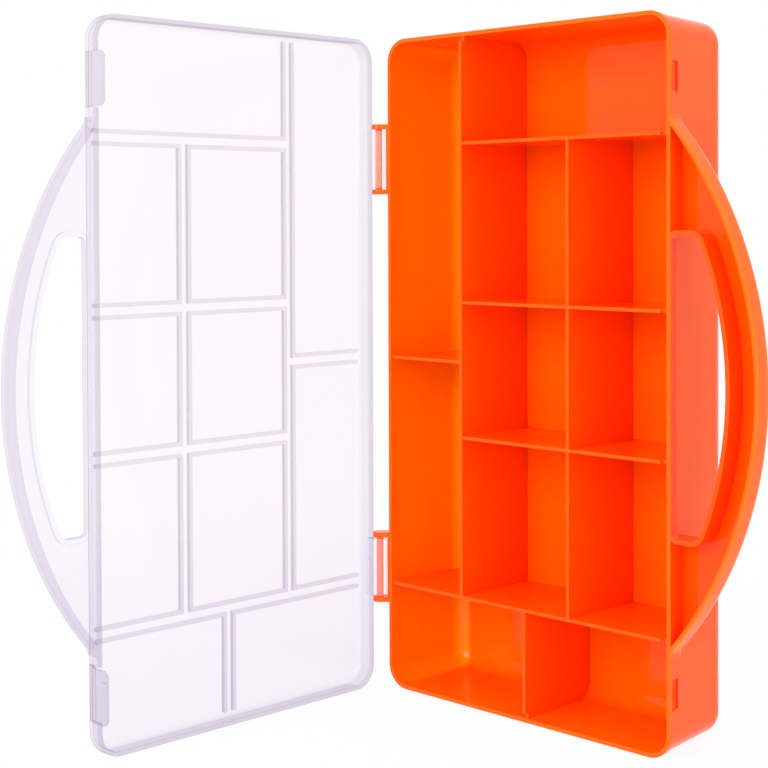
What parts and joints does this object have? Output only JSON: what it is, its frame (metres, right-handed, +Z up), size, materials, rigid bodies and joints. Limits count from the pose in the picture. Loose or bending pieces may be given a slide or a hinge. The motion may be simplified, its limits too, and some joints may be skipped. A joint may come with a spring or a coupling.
{
  "type": "small parts box",
  "caption": "Flat hinged parts box with a divided tray, a clear lid, snap latches and a split carrying handle, standing open on its end.",
  "frame": {"origin": "centre of the footprint of the open box, on the surface it stands on", "axes": "+Z up along the box's length, +X from the hinge to the tray's handle, +Y into the tray, so the tray's open side faces -Y"},
  "size_m": [0.2097, 0.2475, 0.3],
  "materials": {
    "orange_plastic": "opaque bright orange injection-moulded polypropylene with a polished mould surface",
    "clear_plastic": "clear moulded plastic with a very faint cool tint, polished on both faces"
  },
  "bodies": {
    "tray": {"column_cross_divider": "orange_plastic", "end_row_divider": "orange_plastic", "full_cross_divider": "orange_plastic", "hinge_side_divider": "orange_plastic", "lower_hinge_bracket": "orange_plastic", "lower_hinge_pin": "orange_plastic", "lower_inner_cross_divider": "orange_plastic", "lower_outer_cross_divider": "orange_plastic", "middle_divider": "orange_plastic", "top_cross_divider": "orange_plastic", "tray_handle": "orange_plastic", "tray_shell": "orange_plastic", "upper_hinge_bracket": "orange_plastic", "upper_hinge_pin": "orange_plastic", "upper_inner_cross_divider": "orange_plastic", "upper_outer_cross_divider": "orange_plastic"},
    "lid": {"end_row_inner_ribs": "clear_plastic", "end_row_outer_ribs": "clear_plastic", "hinge_column_lower_ribs": "clear_plastic", "hinge_column_upper_ribs": "clear_plastic", "inner_lower_ribs": "clear_plastic", "inner_middle_ribs": "clear_plastic", "inner_upper_ribs": "clear_plastic", "lid_cover": "clear_plastic", "lid_handle": "clear_plastic", "lower_hinge_clip": "clear_plastic", "outer_lower_ribs": "clear_plastic", "outer_middle_ribs": "clear_plastic", "outer_upper_ribs": "clear_plastic", "top_row_ribs": "clear_plastic", "upper_hinge_clip": "clear_plastic"},
    "upper_latch": {"upper_latch_tab": "clear_plastic"},
    "lower_latch": {"lower_latch_tab": "clear_plastic"}
  },
  "joints": [
    {"name": "lid_hinge", "type": "hinge", "parent": "tray", "child": "lid", "pos_m": [-0.09595, 0.07705, 0.15], "axis": [0, 0, 1], "range_deg": [-90, 90]},
    {"name": "upper_latch_flex", "type": "hinge", "parent": "lid", "child": "upper_latch", "pos_m": [-0.10485, -0.08235, 0.2734], "axis": [0, 0, -1], "range_deg": [0, 8], "stiffness_Nm_per_rad": 1.5},
    {"name": "lower_latch_flex", "type": "hinge", "parent": "lid", "child": "lower_latch", "pos_m": [-0.10485, -0.08235, 0.0266], "axis": [0, 0, -1], "range_deg": [0, 8], "stiffness_Nm_per_rad": 1.5}
  ]
}
